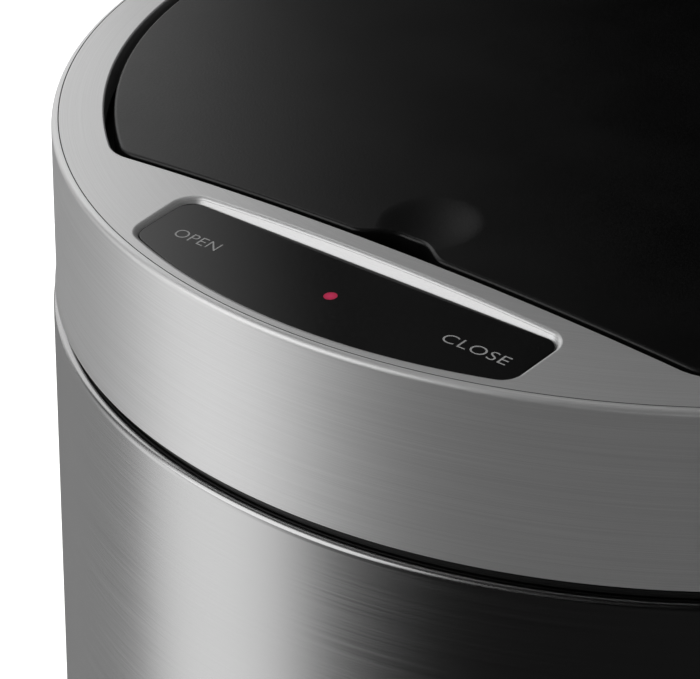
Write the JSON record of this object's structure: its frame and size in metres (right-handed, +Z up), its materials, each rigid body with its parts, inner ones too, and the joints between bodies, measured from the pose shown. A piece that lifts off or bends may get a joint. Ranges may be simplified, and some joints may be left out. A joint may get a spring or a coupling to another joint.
{
  "type": "touch top trash can",
  "caption": "Round steel trash can with a crowned lift-off head, a motor-driven D-shaped lid and a touch panel in front of it.",
  "frame": {"origin": "centre of the base on the floor, under the rubber feet", "axes": "+Z up along the can's axis; -Y is the front, where the touch panel is; the lid's hinge lies towards +Y"},
  "size_m": [0.3619, 0.362, 0.649],
  "materials": {
    "brushed_steel": "satin, fine brush lines round the axis",
    "black_plastic": "fine moulded texture",
    "lid_black": "fine grainy matte black",
    "gloss_black": "glossy black",
    "red_light": "clear red, lit",
    "rubber": "matte rubber",
    "zinc_steel": "bright zinc-plated steel",
    "board_green": "solder mask",
    "chip_black": "moulded chip black",
    "foam_grey": "conductive foam",
    "gear_white": "natural acetal",
    "grey_plastic": "moulded grey",
    "motor_can": "zinc-plated can",
    "brass_gear": "machined brass",
    "cell_wrap": "printed film, plain",
    "wire_black": "wire sleeve"
  },
  "bodies": {
    "can_body": {"body_shell": "brushed_steel", "base_tray": "black_plastic", "rubber_feet": "rubber", "rim_ring": "black_plastic"},
    "head": {"collar_shell": "brushed_steel", "collar_frame": "black_plastic", "bay_cover": "black_plastic", "cover_screws": "zinc_steel", "touch_panel": "gloss_black", "light_pipe": "red_light", "touch_board": "board_green", "board_parts": "chip_black", "touch_pads": "foam_grey", "board_screws": "zinc_steel", "gear_case_left": "grey_plastic", "gear_case_right": "grey_plastic", "gear_axles": "zinc_steel", "motor": "motor_can", "motor_screws": "zinc_steel", "battery_box": "black_plastic", "batteries": "cell_wrap", "battery_contacts": "zinc_steel", "switch_body": "grey_plastic", "wire_loom": "wire_black"},
    "lid": {"lid_panel": "lid_black", "lid_liner": "black_plastic", "lid_gear": "gear_white", "lid_bumpers": "rubber", "lid_screws": "zinc_steel", "hinge_pins": "zinc_steel"},
    "bag_ring": {"bag_ring": "black_plastic"},
    "first_gear": {"gear_1": "gear_white"},
    "second_gear": {"gear_2": "gear_white"},
    "motor_rotor": {"motor_shaft": "zinc_steel", "motor_pinion": "brass_gear"},
    "door": {"battery_door": "black_plastic"},
    "rocker": {"power_rocker": "gloss_black"}
  },
  "joints": [
    {"name": "lid_hinge", "type": "hinge", "parent": "head", "child": "lid", "pos_m": [0, 0.0844, 0.63598], "axis": [-1, 0, 0], "range_deg": [0, 68]},
    {"name": "head_lift", "type": "slide", "parent": "can_body", "child": "head", "axis": [0, 0, 1], "range_m": [0, 0.15]},
    {"name": "bag_ring_lift", "type": "slide", "parent": "can_body", "child": "bag_ring", "axis": [0, 0, 1], "range_m": [0, 0.075]},
    {"name": "battery_door_slide", "type": "slide", "parent": "head", "child": "door", "axis": [0, 1, 0], "range_m": [0, 0.03]},
    {"name": "power_rocker_tip", "type": "hinge", "parent": "head", "child": "rocker", "pos_m": [-0.07899, 0.15504, 0.606], "axis": [0, 0, 1], "range_deg": [-7, 7]},
    {"name": "first_gear_spin", "type": "hinge", "parent": "head", "child": "first_gear", "pos_m": [0.05, 0.0844, 0.60998], "axis": [-1, 0, 0], "range_deg": [-227.67, 1]},
    {"name": "second_gear_spin", "type": "hinge", "parent": "head", "child": "second_gear", "pos_m": [0.05, 0.1044, 0.60998], "axis": [-1, 0, 0], "range_deg": [-1, 530.89]},
    {"name": "rotor_spin", "type": "hinge", "parent": "head", "child": "motor_rotor", "pos_m": [0.06, 0.1244, 0.60998], "axis": [-1, 0, 0], "range_deg": [-1239.07, 5]}
  ],
  "couplings": [
    {"joint": "first_gear_spin", "follows": "lid_hinge", "ratio": -3.3333},
    {"joint": "second_gear_spin", "follows": "lid_hinge", "ratio": 7.7778},
    {"joint": "rotor_spin", "follows": "lid_hinge", "ratio": -18.148},
    {"joint": "bag_ring_lift", "follows": "head_lift", "ratio": 0.5}
  ]
}
